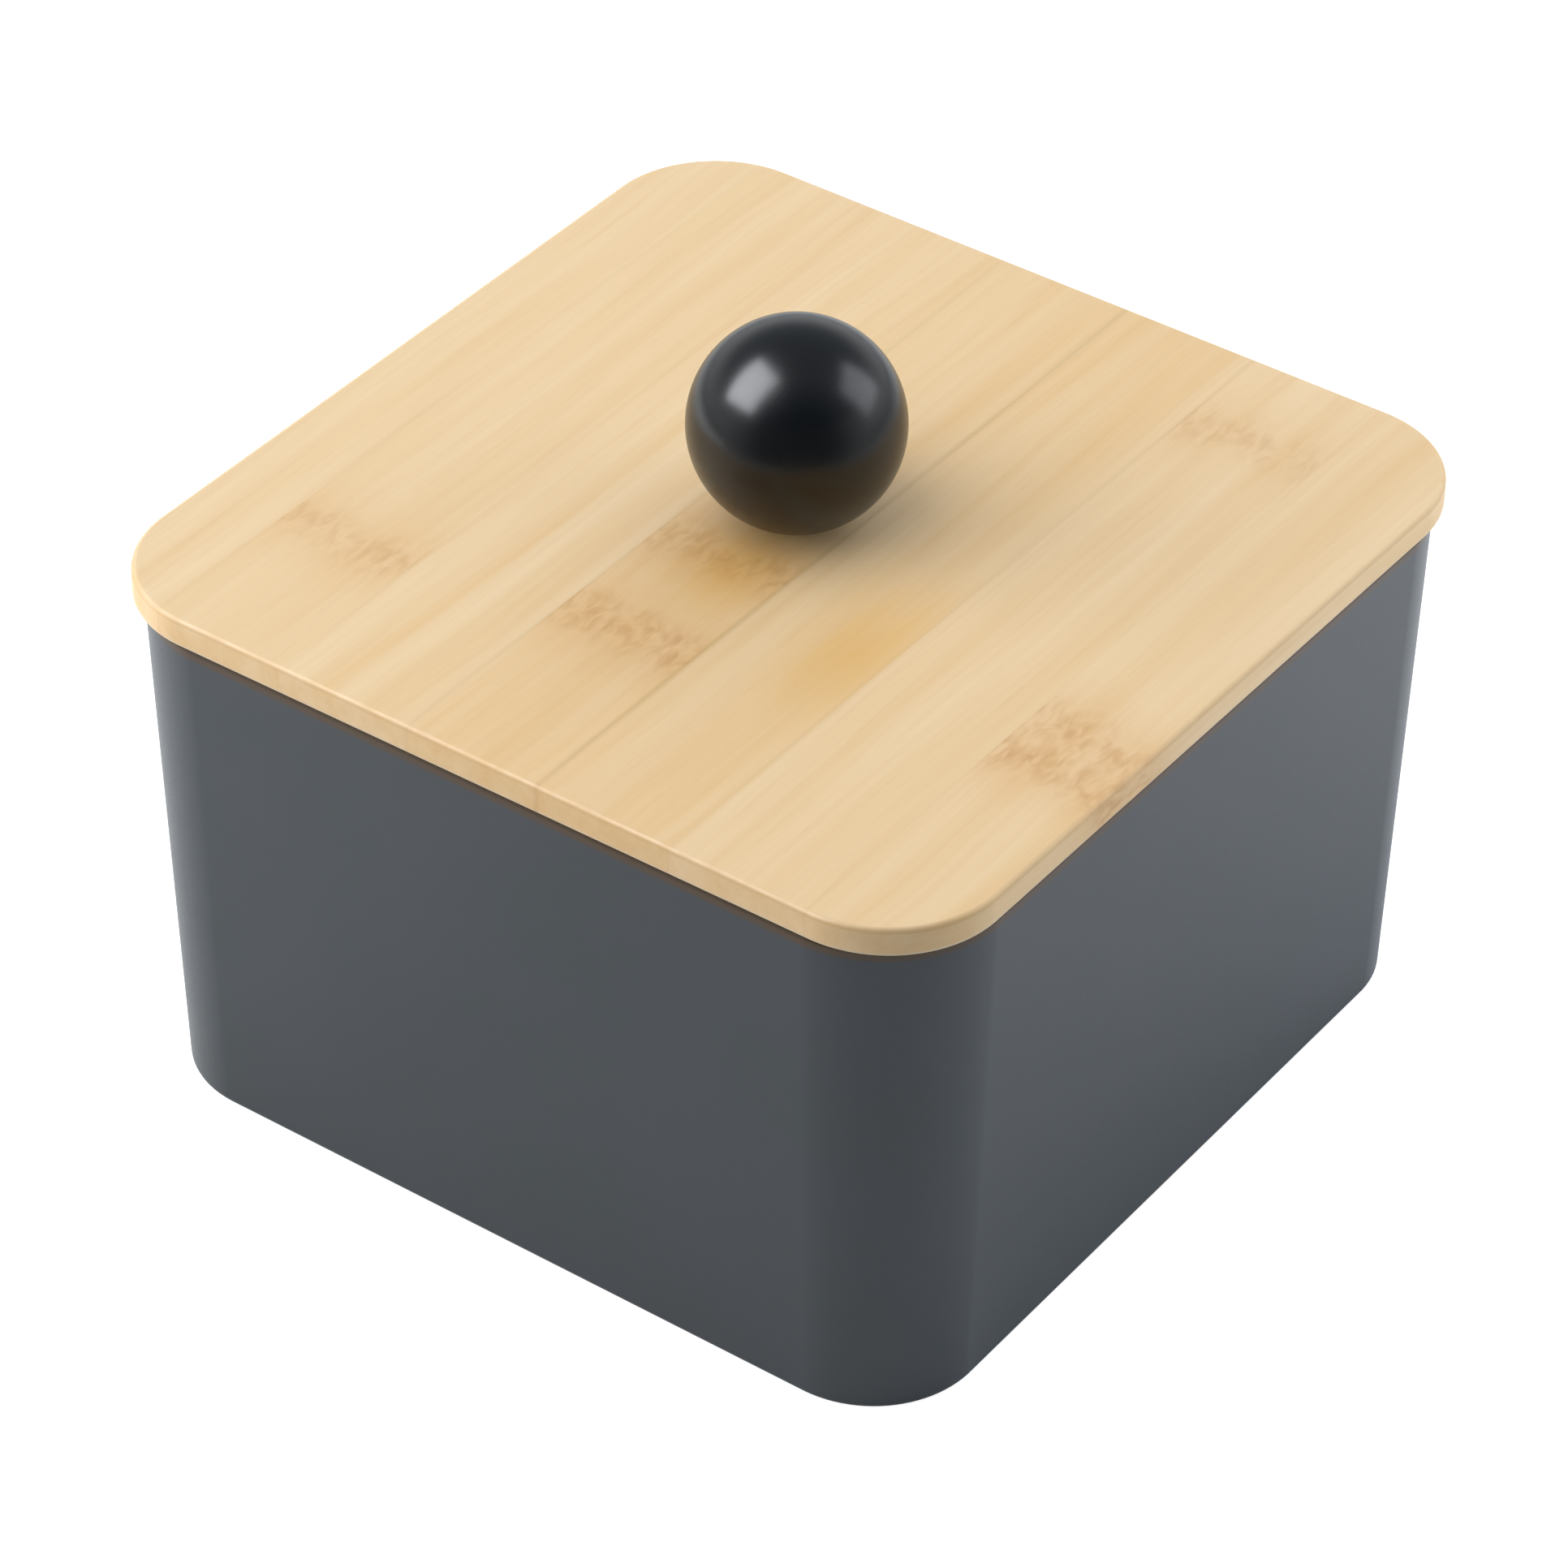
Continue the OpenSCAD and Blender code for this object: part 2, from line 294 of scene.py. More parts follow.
def pressedBamboo(name, seed, seams, acrossY=False, tone=middleTone, knuckles=(), gold=None):
    # seams, knuckles and gold are places in mm: across is X and along is Y, or turned for the plate
    look = bambooLook
    material, tree = newMaterial(name)
    coordinates = addNode(tree, "TexCoord", {})
    inMm = addNode(tree, "Mapping", {
        "Vector": coordinates.outputs["Object"], "Scale": [1 / mm] * 3,
        "Rotation": (0, 0, math.radians(90 if acrossY else 0))})
    facing = addNode(tree, "SeparateXYZ", {0: coordinates.outputs["Normal"]}).outputs
    up = facing["Z"]
    endwise = addNode(tree, "Math", {0: facing["X" if acrossY else "Y"]}, operation="ABSOLUTE")
    endLow, endHigh = look["endFacing"]
    end = addNode(tree, "MapRange", {"Value": endwise, "From Min": endLow, "From Max": endHigh})
    parts = addNode(tree, "SeparateXYZ", {0: inMm})
    across, along = parts.outputs["X"], parts.outputs["Y"]
    start = [seed * step for step in look["stripStep"]]
    moved = addNode(tree, "VectorMath", {0: inMm, 1: start}, operation="ADD")

    # how near a point is to the knuckle, on a line that waves across the strip
    wavePlace = addNode(tree, "VectorMath", {0: moved, 1: look["waveScale"]}, operation="MULTIPLY")
    wave = addNode(tree, "TexNoise", {"Vector": wavePlace, "Scale": 1, "Detail": look["waveDetail"]})
    wavy = addNode(tree, "MapRange", {
        "Value": wave, "To Min": -look["knuckleWave"], "To Max": look["knuckleWave"]})
    near = around = 0
    for knuckleAt, knuckleStrength in knuckles:
        fromKnuckle = addNode(tree, "Math", {0: along, 1: knuckleAt}, operation="SUBTRACT")
        fromLine = addNode(tree, "Math", {0: fromKnuckle, 1: wavy}, operation="ADD")
        distance = addNode(tree, "Math", {0: fromLine}, operation="ABSOLUTE")
        nearThis = addNode(tree, "MapRange", {
            "Value": distance, "From Max": look["knuckleHalf"], "To Min": knuckleStrength, "To Max": 0},
            interpolation_type="SMOOTHSTEP")
        aroundThis = addNode(tree, "MapRange", {
            "Value": distance, "From Max": look["blushHalf"], "To Min": knuckleStrength, "To Max": 0},
            interpolation_type="SMOOTHSTEP")
        near = addNode(tree, "Math", {0: near, 1: nearThis}, operation="MAXIMUM")
        around = addNode(tree, "Math", {0: around, 1: aroundThis}, operation="MAXIMUM")

    # the fibres wander a little, and swirl round the knuckle
    swirlPlace = addNode(tree, "VectorMath", {0: moved, 1: look["swirlScale"]}, operation="MULTIPLY")
    swirlNoise = addNode(tree, "TexNoise", {"Vector": swirlPlace, "Scale": 1, "Detail": look["swirlDetail"]})
    wanderPlace = addNode(tree, "VectorMath", {0: moved, 1: look["wanderScale"]}, operation="MULTIPLY")
    wanderNoise = addNode(tree, "TexNoise", {"Vector": wanderPlace, "Scale": 1})
    swirlMiddle = addNode(tree, "Math", {0: swirlNoise, 1: 0.5}, operation="SUBTRACT")
    swirlWidth = addNode(tree, "Math", {0: around, 1: look["swirl"]}, operation="MULTIPLY")
    swirl = addNode(tree, "Math", {0: swirlMiddle, 1: swirlWidth}, operation="MULTIPLY")
    drift = addNode(tree, "Math", {0: wanderNoise, 1: look["wander"], 2: swirl}, operation="MULTIPLY_ADD")
    shift = addNode(tree, "CombineXYZ", {"X": drift})
    bent = addNode(tree, "VectorMath", {0: moved, 1: shift}, operation="ADD")

    def streaks(width, length, detail):
        size = (1 / width, 1 / length, 1 / width)
        stretched = addNode(tree, "VectorMath", {0: bent, 1: size}, operation="MULTIPLY")
        return addNode(tree, "TexNoise", {
            "Vector": stretched, "Scale": 1, "Detail": detail, "Roughness": look["streakRoughness"]})

    bands = streaks(look["bandWidth"], look["bandLength"], look["bandDetail"])
    fibres = streaks(look["fibreWidth"], look["fibreLength"], look["fibreDetail"])
    flecks = streaks(look["fleckWidth"], look["fleckLength"], look["fleckDetail"])

    # colour, from the broad bands to the knuckle
    toneShift = look["toneReach"] * (tone - middleTone)
    bandLow, bandHigh = (limit - toneShift for limit in look["bandSpread"])
    bandShare = addNode(tree, "MapRange", {"Value": bands, "From Min": bandLow, "From Max": bandHigh})
    colour = addNode(tree, "Mix", {
        "Factor": bandShare, "A": linear(look["pale"]), "B": linear(look["straw"])}, data_type="RGBA")
    layers = (
        (fibres, "fibreDark", "fibreShare", "fibre"),
        (fibres, "fibreBright", "brightShare", "bright"),
        (flecks, "fleckDark", "fleckShare", "fibre"),
    )
    for pattern, spread, most, shade in layers:
        spreadStart, spreadEnd = look[spread]
        share = addNode(tree, "MapRange", {
            "Value": pattern, "From Min": spreadStart, "From Max": spreadEnd, "To Max": look[most]})
        colour = addNode(tree, "Mix", {
            "Factor": share, "A": colour, "B": linear(look[shade])}, data_type="RGBA")
    # end grain is browner and evener
    endShare = addNode(tree, "Math", {0: end, 1: look["endShare"]}, operation="MULTIPLY")
    colour = addNode(tree, "Mix", {
        "Factor": endShare, "A": colour, "B": linear(look["endGrain"])}, data_type="RGBA")
    # painted light and shade on the rounded edges: the upper edge darker, toning down the light it catches,
    # the lower one paler, as if lit from the floor below
    for edge, sign in (("handled", 1), ("sanded", -1)):
        tilt = addNode(tree, "Math", {0: up, 1: sign}, operation="MULTIPLY")
        untilted = addNode(tree, "Math", {0: 1, 1: tilt}, operation="SUBTRACT")
        rounded = addNode(tree, "Math", {0: tilt, 1: untilted}, operation="MULTIPLY")
        edgeShare = addNode(tree, "MapRange", {
            "Value": rounded, "From Max": look["edgeTilt"], "To Max": look[edge + "Share"]})
        colour = addNode(tree, "Mix", {
            "Factor": edgeShare, "A": colour, "B": linear(look[edge + "Edge"])}, data_type="RGBA")
    if gold:
        goldAcross, goldAlong, goldWidth, goldLength, goldStrength = gold
        fromGold = addNode(tree, "VectorMath", {0: inMm, 1: (goldAcross, goldAlong, 0)}, operation="SUBTRACT")
        goldPlace = addNode(tree, "VectorMath", {
            0: fromGold, 1: (1 / goldWidth, 1 / goldLength, 0)}, operation="MULTIPLY")
        goldReach = addNode(tree, "VectorMath", {0: goldPlace}, operation="LENGTH").outputs["Value"]
        uneven = addNode(tree, "Math", {
            0: bands, 1: look["goldUneven"], 2: goldReach}, operation="MULTIPLY_ADD")
        goldFull, goldEnd = look["goldReach"]
        goldShare = addNode(tree, "MapRange", {
            "Value": uneven, "From Min": goldFull, "From Max": goldEnd, "To Min": goldStrength, "To Max": 0},
            interpolation_type="SMOOTHSTEP")
        colour = addNode(tree, "Mix", {
            "Factor": goldShare, "A": colour, "B": linear(look["gold"])}, data_type="RGBA")
    if knuckles:
        blushShare = addNode(tree, "Math", {0: around, 1: look["blushShare"]}, operation="MULTIPLY")
        colour = addNode(tree, "Mix", {
            "Factor": blushShare, "A": colour, "B": linear(look["blush"])}, data_type="RGBA")
        scribbleSize = (1 / look["scribbleWidth"], 1 / look["scribbleLength"], 1 / look["scribbleWidth"])
        scribblePlace = addNode(tree, "VectorMath", {0: bent, 1: scribbleSize}, operation="MULTIPLY")
        scribbles = addNode(tree, "TexNoise", {
            "Vector": scribblePlace, "Scale": 1, "Detail": look["scribbleDetail"],
            "Distortion": look["scribbleTwist"]})
        scribbleStart, scribbleEnd = look["scribbleDark"]
        marks = addNode(tree, "MapRange", {
            "Value": scribbles, "From Min": scribbleStart, "From Max": scribbleEnd})
        markShare = addNode(tree, "Math", {0: marks, 1: near}, operation="MULTIPLY")
        colour = addNode(tree, "Mix", {
            "Factor": markShare, "A": colour, "B": linear(look["knuckle"])}, data_type="RGBA")
    # the glued seams show as thin broken lines
    seamLow, seamHigh = look["seamSpread"]
    for seam, seamStrength in seams:
        fromSeam = addNode(tree, "Math", {0: across, 1: seam}, operation="SUBTRACT")
        seamDistance = addNode(tree, "Math", {0: fromSeam}, operation="ABSOLUTE")
        line = addNode(tree, "MapRange", {
            "Value": seamDistance, "From Max": look["seamWidth"], "To Min": seamStrength, "To Max": 0},
            interpolation_type="SMOOTHSTEP")
        broken = addNode(tree, "MapRange", {
            "Value": wave, "From Min": seamLow, "From Max": seamHigh, "To Min": look["seamFaintest"]})
        lineShare = addNode(tree, "Math", {0: line, 1: broken}, operation="MULTIPLY")
        colour = addNode(tree, "Mix", {
            "Factor": lineShare, "A": colour, "B": linear(look["seam"])}, data_type="RGBA")

    sheenLow, sheenHigh = look["sheenSpread"]
    smoothest, roughest = look["roughness"]
    rough = addNode(tree, "MapRange", {
        "Value": fibres, "From Min": sheenLow, "From Max": sheenHigh,
        "To Min": smoothest, "To Max": roughest})
    grainHeight = addNode(tree, "Math", {
        0: flecks, 1: look["fleckHeight"], 2: fibres}, operation="MULTIPLY_ADD")
    bump = addNode(tree, "Bump", {"Height": grainHeight, "Strength": 1, "Distance": look["fibreDepth"]})
    shader = addNode(tree, "BsdfPrincipled", {
        "Base Color": colour, "Roughness": rough, "IOR": look["ior"], "Normal": bump})
    addNode(tree, "OutputMaterial", {"Surface": shader})
    return material


# Compression moulded phenolic, polished: deep black under a hard, wet gloss

ballLook = {
    "black": "#040404",
    "haze": "#060606",
    "cloud": 9 * mm,
    "cloudDetail": 2,
    "cloudSpread": (0.3, 0.7),
    "roughness": (0.23, 0.28),
    "ior": 1.46,
    "polishGrain": 2.2 * mm,
    "polishDetail": 1,
    "polishDepth": 0.003 * mm,
}


def polishedPhenolic():
    look = ballLook
    material, tree = newMaterial("polishedPhenolic")
    place = addNode(tree, "TexCoord", {}).outputs["Object"]
    cloud = addNode(tree, "TexNoise", {
        "Vector": place, "Scale": 1 / look["cloud"], "Detail": look["cloudDetail"]})
    colour = addNode(tree, "Mix", {
        "Factor": cloud, "A": linear(look["black"]), "B": linear(look["haze"])}, data_type="RGBA")
    cloudLow, cloudHigh = look["cloudSpread"]
    smoothest, roughest = look["roughness"]
    rough = addNode(tree, "MapRange", {
        "Value": cloud, "From Min": cloudLow, "From Max": cloudHigh, "To Min": smoothest, "To Max": roughest})
    waves = addNode(tree, "TexNoise", {
        "Vector": place, "Scale": 1 / look["polishGrain"], "Detail": look["polishDetail"]})
    bump = addNode(tree, "Bump", {"Height": waves, "Strength": 1, "Distance": look["polishDepth"]})
    shader = addNode(tree, "BsdfPrincipled", {
        "Base Color": colour, "Roughness": rough, "IOR": look["ior"], "Normal": bump})
    addNode(tree, "OutputMaterial", {"Surface": shader})
    return material


# Turned brass: warm metal with fine rings left by the tool

brassLook = {
    "brass": "#d6ab57",
    "tarnish": "#a98241",
    "tarnishPatch": 3 * mm,
    "tarnishDetail": 3,
    "tarnishSpread": (0.45, 0.75),
    "tarnishShare": 0.6,
    "toolStep": 0.12 * mm,
    "toolDepth": 0.004 * mm,
    "toolWander": 0.4,
    "waveAtScaleOne": 0.314,  # length of one wave of the texture at a scale of 1
    "roughness": (0.24, 0.42),
}


def turnedBrass():
    look = brassLook
    material, tree = newMaterial("turnedBrass")
    place = addNode(tree, "TexCoord", {}).outputs["Object"]
    patches = addNode(tree, "TexNoise", {
        "Vector": place, "Scale": 1 / look["tarnishPatch"], "Detail": look["tarnishDetail"]})
    tarnishLow, tarnishHigh = look["tarnishSpread"]
    share = addNode(tree, "MapRange", {
        "Value": patches, "From Min": tarnishLow, "From Max": tarnishHigh, "To Max": look["tarnishShare"]})
    colour = addNode(tree, "Mix", {
        "Factor": share, "A": linear(look["brass"]), "B": linear(look["tarnish"])}, data_type="RGBA")
    rings = addNode(tree, "TexWave", {
        "Vector": place, "Scale": look["waveAtScaleOne"] / look["toolStep"],
        "Distortion": look["toolWander"]}, bands_direction="Z")
    smoothest, roughest = look["roughness"]
    rough = addNode(tree, "MapRange", {"Value": patches, "To Min": smoothest, "To Max": roughest})
    bump = addNode(tree, "Bump", {"Height": rings, "Strength": 1, "Distance": look["toolDepth"]})
    shader = addNode(tree, "BsdfPrincipled", {
        "Base Color": colour, "Metallic": 1, "Roughness": rough, "Normal": bump})
    addNode(tree, "OutputMaterial", {"Surface": shader})
    return material


# Zinc plated steel: cool grey, softly mottled by the plating bath

zincLook = {
    "zinc": "#b4b8bb",
    "bluish": "#a3abb6",
    "mottle": 1.6 * mm,
    "mottleDetail": 3,
    "mottleSpread": (0.3, 0.7),
    "grain": 0.25 * mm,
    "grainDetail": 1,
    "depth": 0.005 * mm,
    "roughness": (0.27, 0.42),
}


def zincPlate():
    look = zincLook
    material, tree = newMaterial("zincPlatedSteel")
    place = addNode(tree, "TexCoord", {}).outputs["Object"]
    mottle = addNode(tree, "TexNoise", {
        "Vector": place, "Scale": 1 / look["mottle"], "Detail": look["mottleDetail"]})
    grain = addNode(tree, "TexNoise", {
        "Vector": place, "Scale": 1 / look["grain"], "Detail": look["grainDetail"]})
    colour = addNode(tree, "Mix", {
        "Factor": mottle, "A": linear(look["zinc"]), "B": linear(look["bluish"])}, data_type="RGBA")
    mottleLow, mottleHigh = look["mottleSpread"]
    smoothest, roughest = look["roughness"]
    rough = addNode(tree, "MapRange", {
        "Value": mottle, "From Min": mottleLow, "From Max": mottleHigh,
        "To Min": smoothest, "To Max": roughest})
    bump = addNode(tree, "Bump", {"Height": grain, "Strength": 1, "Distance": look["depth"]})
    shader = addNode(tree, "BsdfPrincipled", {
        "Base Color": colour, "Metallic": 1, "Roughness": rough, "Normal": bump})
    addNode(tree, "OutputMaterial", {"Surface": shader})
    return material


# Box

box = {
    "wall": 2.4 * mm,
    "cornerRadius": 18.6 * mm,
    "draft": 2.4 * mm,  # how far each side leans in towards the base
    "floor": 2.4 * mm,
    "floorFillet": 4 * mm,
    "rimRounding": 1 * mm,
    "mouthChamfer": 0.5 * mm,
    "baseRounding": 0.8 * mm,
    "footRing": 5 * mm,
    "footRecess": 0.8 * mm,
    "gateWell": 9 * mm,
    "gateDepth": 0.5 * mm,
    "gateNub": 1.5 * mm,
    "edgeWidth": 0.12 * mm,
}


def makeBox(material):
    low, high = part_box("box_shell")
    top = high.z
    axis = high.x - box["cornerRadius"]
    baseRadius = box["cornerRadius"] - box["draft"]
    lean = box["draft"] / top
    recess = box["footRecess"]
    floorTop = recess + box["floor"]

    def wallRadius(z):
        return baseRadius + lean * z

    wellRadius = box["gateWell"] / 2
    nubRadius = box["gateNub"] / 2
    dishRadius = (wellRadius ** 2 + box["gateDepth"] ** 2) / (2 * box["gateDepth"])
    dishMiddle = recess + box["gateDepth"] - dishRadius

    def dishRing(share):
        radius = nubRadius + (wellRadius - nubRadius) * share
        return 0, radius, dishMiddle + math.sqrt(dishRadius ** 2 - radius ** 2)

    bm = bmesh.new()
    recessRadius = baseRadius - box["footRing"]
    baseArc = wallRadius(box["baseRounding"]) - box["baseRounding"]
    rimArc = wallRadius(top - box["rimRounding"]) - box["rimRounding"]
    filletZ = floorTop + box["floorFillet"]
    chamferZ = top - box["mouthChamfer"]
    mouth = box["cornerRadius"] - box["wall"]
    rings = [(0, nubRadius, recess)]
    rings += [dishRing(i / arcSteps) for i in range(arcSteps + 1)]
    rings += [(axis, recessRadius - recess, recess), (axis, recessRadius, 0)]
    rings += arc(axis, baseArc, box["baseRounding"], box["baseRounding"], -90, 0)
    rings += arc(axis, rimArc, top - box["rimRounding"], box["rimRounding"], 0, 90)
    rings += [(axis, mouth + box["mouthChamfer"], top), (axis, wallRadius(chamferZ) - box["wall"], chamferZ)]
    filletRadius = wallRadius(filletZ) - box["wall"] - box["floorFillet"]
    rings += arc(axis, filletRadius, filletZ, box["floorFillet"], 0, -90)
    loft(bm, rings)
    return addPiece(bm, "boxBody", material, "box", "box_shell", box["edgeWidth"])


# Lid and locating plate, each one board cut into its glued strips

lid = {
    "cornerRadius": 17.2 * mm,
    "upperRounding": 0.8 * mm,
    "lowerRounding": 0.8 * mm,
    "screwHole": 4.5 * mm,
    "seamStrengths": (0.05, 0.04, 0.12, 0.3, 0.13, 0.05),
    "firstSeed": 1,
}
plate = {
    "cornerRadius": 14.7 * mm,
    "lowerRounding": 0.8 * mm,
    "upperRounding": 0.1 * mm,
    "screwHole": 4.5 * mm,
    "seamStrengths": (0.4, 0.3, 0.5, 0.4, 0.3, 0.4),
    "firstSeed": 20,
}
# places and sizes of the marks in mm, and their strengths
lidStrips = [
    {"tone": 0.3},
    {"tone": 0.5, "knuckles": [(-40.5, 0.37)]},
    {"tone": 0.4},
    {"tone": 0.7, "knuckles": [(-34, 0.64), (-14, 0.5)], "gold": (0, -15, 13, 18, 0.68)},
    {"tone": 0.8, "gold": (25, -21, 9, 25, 0.6)},
    {"tone": 0.45, "knuckles": [(51, 0.32)]},
    {"tone": 0.5, "knuckles": [(-19, 0.55), (-26, 0.6)]},
]
plateStrips = [
    {"tone": 0.7},
    {"tone": 0.5, "knuckles": [(31, 0.5)]},
    {"tone": 0.8},
    {"tone": 0.6},
    {"tone": 0.45},
    {"tone": 0.75, "knuckles": [(-22, 0.6)]},
    {"tone": 0.6},
]


def makeBoard(sizes, halfWidth, low, high):
    bm = bmesh.new()
    axis = halfWidth - sizes["cornerRadius"]
    lowerArc = sizes["cornerRadius"] - sizes["lowerRounding"]
    upperArc = sizes["cornerRadius"] - sizes["upperRounding"]
    rings = [(0, sizes["screwHole"] / 2, low)]
    rings += arc(axis, lowerArc, low + sizes["lowerRounding"], sizes["lowerRounding"], -90, 0)
    rings += arc(axis, upperArc, high - sizes["upperRounding"], sizes["upperRounding"], 0, 90)
    rings += [(0, sizes["screwHole"] / 2, high)]
    loft(bm, rings, closed=True)
    return bm


def cutBoard(bm, place, facing):
    # takes away what lies past a seam and closes the cut
    parts = bm.verts[:] + bm.edges[:] + bm.faces[:]
    cut = bmesh.ops.bisect_plane(bm, geom=parts, plane_co=place, plane_no=facing, clear_outer=True)
    cutEdges = [part for part in cut["geom_cut"] if isinstance(part, bmesh.types.BMEdge)]
    bmesh.ops.edgeloop_fill(bm, edges=cutEdges)


def makeStrips(sizes, looks, nodeName, pieceName, acrossY):
    side = 1 if acrossY else 0
    corners = [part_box(f"{nodeName}_{i + 1}") for i in range(len(looks))]
    low, high = corners[0][0], corners[-1][1]
    board = makeBoard(sizes, (high[side] - low[side]) / 2, low.z, high.z)
    for i, look in enumerate(looks):
        bm = board.copy()
        seams = []
        for corner, sign, seam in ((corners[i][0], -1, i - 1), (corners[i][1], 1, i)):
            if 0 <= seam < len(sizes["seamStrengths"]):
                place, facing = Vector(), Vector()
                place[side] = corner[side]
                facing[side] = sign
                cutBoard(bm, place, facing)
                across = -place[side] if acrossY else place[side]
                seams.append((across / mm, sizes["seamStrengths"][seam]))
        name = f"{pieceName}{i + 1}"
        material = pressedBamboo(name + "Bamboo", i + sizes["firstSeed"], seams, acrossY, **look)
        addPiece(bm, name, material, "lid", f"{nodeName}_{i + 1}")
    board.free()


# Knob

ball = {
    "flatRounding": 0.3 * mm,
    "roundingSteps": 3,
    "hole": 5.7 * mm,
    "holeDepth": 10 * mm,
    "around": 128,  # faces round the ball
    "down": 96,
}


def makeBall(material):
    low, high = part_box("knob_ball")
    radius = (high.x - low.x) / 2
    middle = high.z - radius
    bm = bmesh.new()
    bmesh.ops.create_uvsphere(
        bm, u_segments=ball["around"], v_segments=ball["down"], radius=radius,
        matrix=Matrix.Translation((0, 0, middle)))
    parts = bm.verts[:] + bm.edges[:] + bm.faces[:]
    cut = bmesh.ops.bisect_plane(
        bm, geom=parts, plane_co=(0, 0, low.z), plane_no=(0, 0, -1), clear_outer=True)
    flatEdge = [part for part in cut["geom_cut"] if isinstance(part, bmesh.types.BMEdge)]
    loops = [flatEdge]
    for z in (low.z, low.z + ball["holeDepth"]):
        loops.append(addRing(bm, 0, ball["hole"] / 2, z, ball["around"]))
    for outer, inner in zip(loops, loops[1:]):
        bmesh.ops.bridge_loops(bm, edges=outer + inner)
    bmesh.ops.edgeloop_fill(bm, edges=loops[-1])
    bmesh.ops.bevel(
        bm, geom=flatEdge, offset=ball["flatRounding"], affect="EDGES", segments=ball["roundingSteps"],
        profile=0.5, material=-1)
    return addPiece(bm, "knobBall", material, "lid", "knob_ball")


insert = {
    "barrel": 5.6 * mm,
    "bore": 4.1 * mm,
    "collarHeight": 0.4 * mm,
    "chamfer": 0.12 * mm,
    "neckDepth": 0.24 * mm,
    "neckHeight": 0.48 * mm,
    "knurlRunOut": 0.24 * mm,
    "tipHeight": 0.36 * mm,
    "knurlDepth": 0.12 * mm,
}


def makeInsert(material):
    low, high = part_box("knob_insert")
    collar = (high.x - low.x) / 2
    barrel, bore, chamfer = insert["barrel"] / 2, insert["bore"] / 2, insert["chamfer"]
    collarTop = low.z + insert["collarHeight"]
    bm = bmesh.new()
    neck, neckTop = barrel - insert["neckDepth"], collarTop + insert["neckHeight"]
    rings = [
        (0, bore + chamfer, low.z), (0, collar - chamfer, low.z), (0, collar, low.z + chamfer),
        (0, collar, collarTop - chamfer), (0, collar - chamfer, collarTop), (0, neck, collarTop),
        (0, neck, neckTop),
    ]
    knurlBottom = len(rings)
    rings += [(0, barrel, neckTop + insert["knurlRunOut"]), (0, barrel, high.z - insert["tipHeight"])]
    rings += [(0, barrel - chamfer, high.z), (0, bore + chamfer, high.z)]
    rings += [(0, bore, high.z - chamfer), (0, bore, low.z + chamfer)]
    loops = loft(bm, rings, closed=True)
    # straight knurls: every other point of the barrel is pressed in
    for loop in loops[knurlBottom:knurlBottom + 2]:
        verts = {vert for edge in loop for vert in edge.verts}
        for vert in sorted(verts, key=lambda vert: math.atan2(vert.co.y, vert.co.x))[::2]:
            vert.co.xy *= 1 - insert["knurlDepth"] / barrel
    return addPiece(bm, "knobInsert", material, "lid", "knob_insert")


screw = {
    "thread": 4 * mm,
    "headHeight": 2.6 * mm,
    "threadPitch": 0.7 * mm,
    "threadDepth": 0.38 * mm,
    "grooveShares": (0.45, 0.6, 0.95),  # of the pitch: foot of the groove, its other side and the crest
    "pointTaper": 0.5 * mm,
    "plainShank": 2.2 * mm,
    "slotLength": 4.4 * mm,
    "slotWidth": 1 * mm,
    "slotDepth": 1.3 * mm,
    "slotTaper": 0.82,
}


def makeScrew(material):
    low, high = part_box("knob_screw")
    head, shank = (high.x - low.x) / 2, screw["thread"] / 2
    headTop = low.z + screw["headHeight"]
    rounding = screw["headHeight"] / 2
    bm = bmesh.new()
    rings = arc(0, head - rounding, low.z + rounding, rounding, -90, 0)
    rings += [(0, head, headTop), (0, shank, headTop), (0, shank, headTop + screw["plainShank"])]
    # the thread is drawn as a row of grooves
    core = shank - screw["threadDepth"]
    pitch = screw["threadPitch"]
    footStart, footEnd, crest = screw["grooveShares"]
    z = headTop + screw["plainShank"]
    while z + 2 * pitch < high.z:
        rings += [(0, core, z + footStart * pitch), (0, core, z + footEnd * pitch)]
        rings += [(0, shank, z + crest * pitch), (0, shank, z + pitch)]
        z += pitch
    rings += [(0, shank, high.z - screw["pointTaper"]), (0, shank - screw["pointTaper"], high.z)]
    loops = [addRing(bm, *ring) for ring in rings]
    for lower, upper in zip(loops, loops[1:]):
        bridge(bm, lower, upper)
    bmesh.ops.edgeloop_fill(bm, edges=loops[-1])
    # cross recess: a grid with its corners out, pressed up into the head and tapered
    arm, half = screw["slotLength"] / 2, screw["slotWidth"] / 2
    place = Matrix.Translation((0, 0, low.z))
    grid = bmesh.ops.create_grid(bm, x_segments=3, y_segments=3, size=arm, matrix=place)
    bm.faces.index_update()
    for vert in grid["verts"]:
        for side in (0, 1):
            if abs(vert.co[side]) < arm / 2:
                vert.co[side] = math.copysign(half, vert.co[side])
    gridFaces = {face for vert in grid["verts"] for face in vert.link_faces}
    gridFaces = sorted(gridFaces, key=lambda face: face.index)
    corners = [face for face in gridFaces if min(abs(c) for c in face.calc_center_median().xy) > half]
    bmesh.ops.delete(bm, geom=corners, context="FACES")
    cross = [face for face in gridFaces if face.is_valid]
    outline = [edge for face in cross for edge in face.edges if edge.is_boundary]
    bmesh.ops.triangle_fill(bm, edges=loops[0] + outline, use_beauty=True)
    pressed = bmesh.ops.extrude_face_region(bm, geom=cross)["geom"]
    bmesh.ops.delete(bm, geom=cross, context="FACES_KEEP_BOUNDARY")
    deep = [part for part in pressed if isinstance(part, bmesh.types.BMVert)]
    bmesh.ops.translate(bm, verts=deep, vec=(0, 0, screw["slotDepth"]))
    bmesh.ops.scale(bm, verts=deep, vec=(screw["slotTaper"], screw["slotTaper"], 1))
    return addPiece(bm, "knobScrew", material, "lid", "knob_screw")


